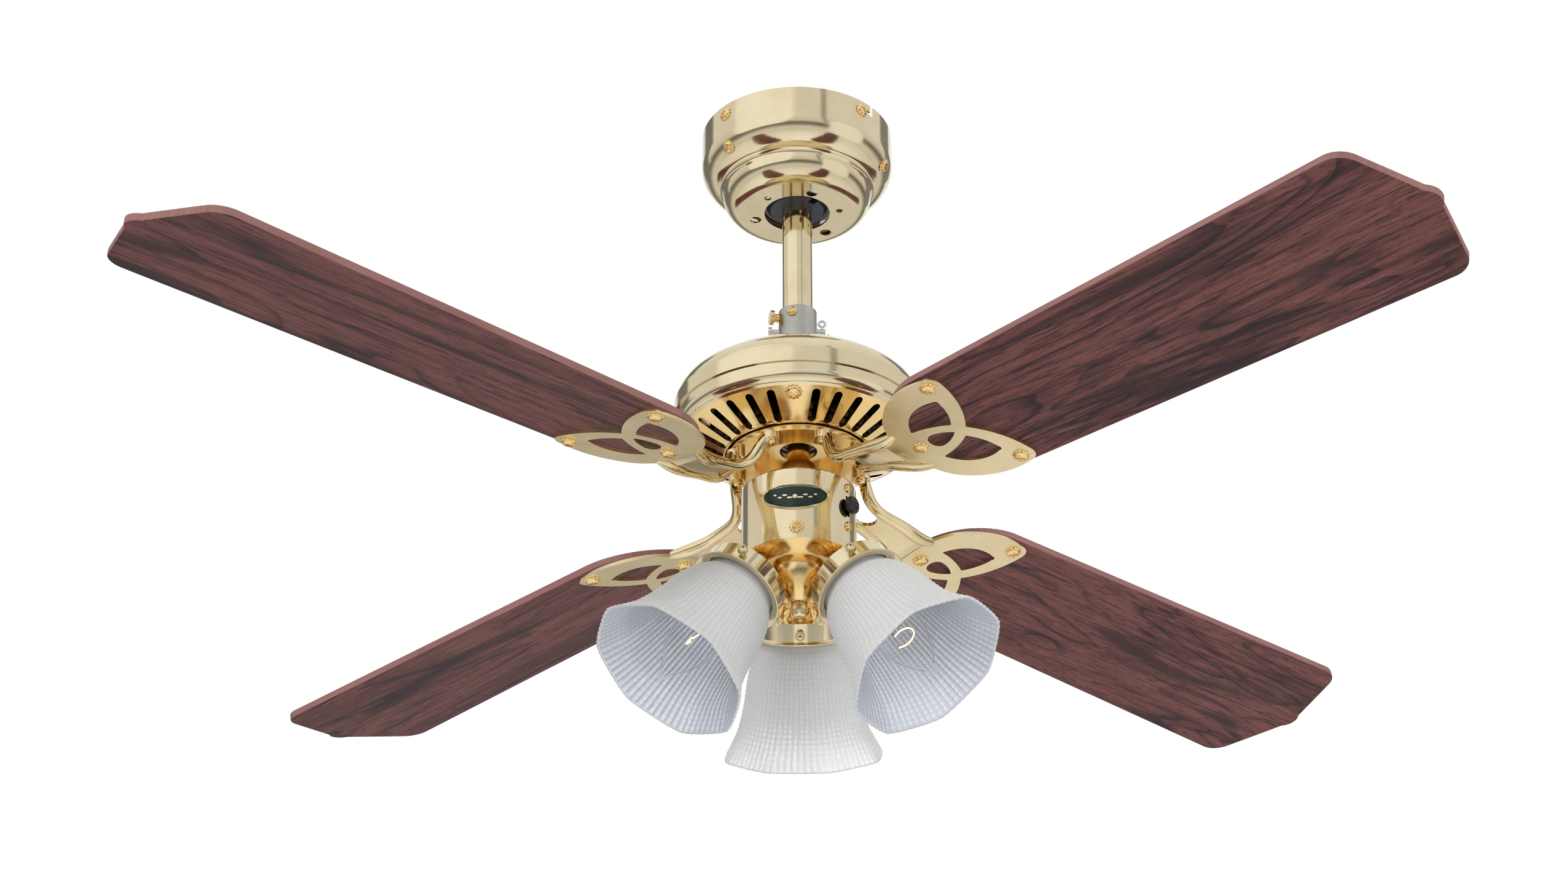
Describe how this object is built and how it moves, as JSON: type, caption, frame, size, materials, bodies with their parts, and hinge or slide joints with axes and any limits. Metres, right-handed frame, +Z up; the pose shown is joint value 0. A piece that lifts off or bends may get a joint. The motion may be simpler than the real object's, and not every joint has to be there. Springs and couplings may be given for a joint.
{
  "type": "ceiling fan with light",
  "caption": "Small ceiling fan with rosewood blades on brass irons, a ball-jointed down rod and a light kit of ribbed frosted-glass bell shades on tilted brass galleries.",
  "frame": {"origin": "centre of the hanging bracket's top face, on the ceiling plane", "axes": "+Z up along the fan's axis; +X to the right seen from the front, where the badge is; -Y towards the viewer"},
  "size_m": [0.8066, 0.8066, 0.4667],
  "materials": {
    "polished_brass": "polished and lacquered",
    "satin_brass": "satin cast",
    "zinc_grey": "satin zinc",
    "bright_steel": "bright plated",
    "ground_steel": "ground",
    "dark_ball": "matte",
    "liner": "matte nylon",
    "silicon_steel": "laminated, varnished",
    "copper_coil": "enamelled wire",
    "rotor_cast": "as cast",
    "plated_cast": "brass plated casting",
    "rosewood": "lacquered, dark figure",
    "badge_enamel": "dark green enamel with a brass rim",
    "black_plastic": "semi-gloss",
    "white_plastic": "matte",
    "frosted_glass": "frosted, ribbed",
    "clear_glass": "clear",
    "bulb_brass": "bright pressed"
  },
  "bodies": {
    "mount": {"hanging_bracket": "bright_steel", "canopy": "polished_brass", "canopy_screws": "polished_brass", "terminal_block": "white_plastic"},
    "seat": {"ball_seat": "liner"},
    "frame": {"hanger_ball": "dark_ball", "hanger_pin": "bright_steel", "downrod": "polished_brass", "motor_coupling": "zinc_grey", "coupling_screws": "polished_brass", "clevis_pin": "bright_steel", "cotter_pin": "bright_steel", "motor_top_cover": "polished_brass", "motor_lower_cover": "polished_brass", "housing_screws": "polished_brass", "motor_shaft": "ground_steel", "stator_core": "silicon_steel", "stator_windings": "copper_coil", "upper_bearing": "ground_steel", "lower_bearing": "ground_steel", "switch_housing": "polished_brass", "switch_housing_screws": "polished_brass", "badge": "badge_enamel", "reverse_switch_body": "black_plastic", "capacitor": "black_plastic", "light_kit_pan": "polished_brass", "light_kit_hub": "polished_brass", "finial": "polished_brass", "thumb_screws": "polished_brass", "lamp_cup_1": "polished_brass", "gallery_1": "polished_brass", "lampholder_1": "white_plastic", "bulb_cap_1": "bulb_brass", "bulb_glass_1": "clear_glass", "shade_1": "frosted_glass", "lamp_cup_2": "polished_brass", "gallery_2": "polished_brass", "lampholder_2": "white_plastic", "bulb_cap_2": "bulb_brass", "bulb_glass_2": "clear_glass", "shade_2": "frosted_glass", "lamp_cup_3": "polished_brass", "gallery_3": "polished_brass", "lampholder_3": "white_plastic", "bulb_cap_3": "bulb_brass", "bulb_glass_3": "clear_glass", "shade_3": "frosted_glass"},
    "rotor": {"rotor_upper_bell": "rotor_cast", "rotor_lower_bell": "plated_cast", "iron_screws": "polished_brass", "blade_screws": "polished_brass", "blade_iron_1": "satin_brass", "blade_iron_2": "satin_brass", "blade_iron_3": "satin_brass", "blade_iron_4": "satin_brass", "blade_1": "rosewood", "blade_2": "rosewood", "blade_3": "rosewood", "blade_4": "rosewood"},
    "knob": {"reverse_switch_knob": "black_plastic"}
  },
  "joints": [
    {"name": "swing_x", "type": "hinge", "parent": "mount", "child": "seat", "pos_m": [0, 0, -0.045], "axis": [1, 0, 0], "range_deg": [-8, 8]},
    {"name": "swing_y", "type": "hinge", "parent": "seat", "child": "frame", "pos_m": [0, 0, -0.045], "axis": [0, 1, 0], "range_deg": [-8, 8]},
    {"name": "rotor_spin", "type": "hinge", "parent": "frame", "child": "rotor", "pos_m": [0, 0, -0.292], "axis": [0, 0, 1], "continuous": true},
    {"name": "switch_slide", "type": "slide", "parent": "frame", "child": "knob", "axis": [0, 0, 1], "range_m": [-0.0025, 0.0025]}
  ]
}
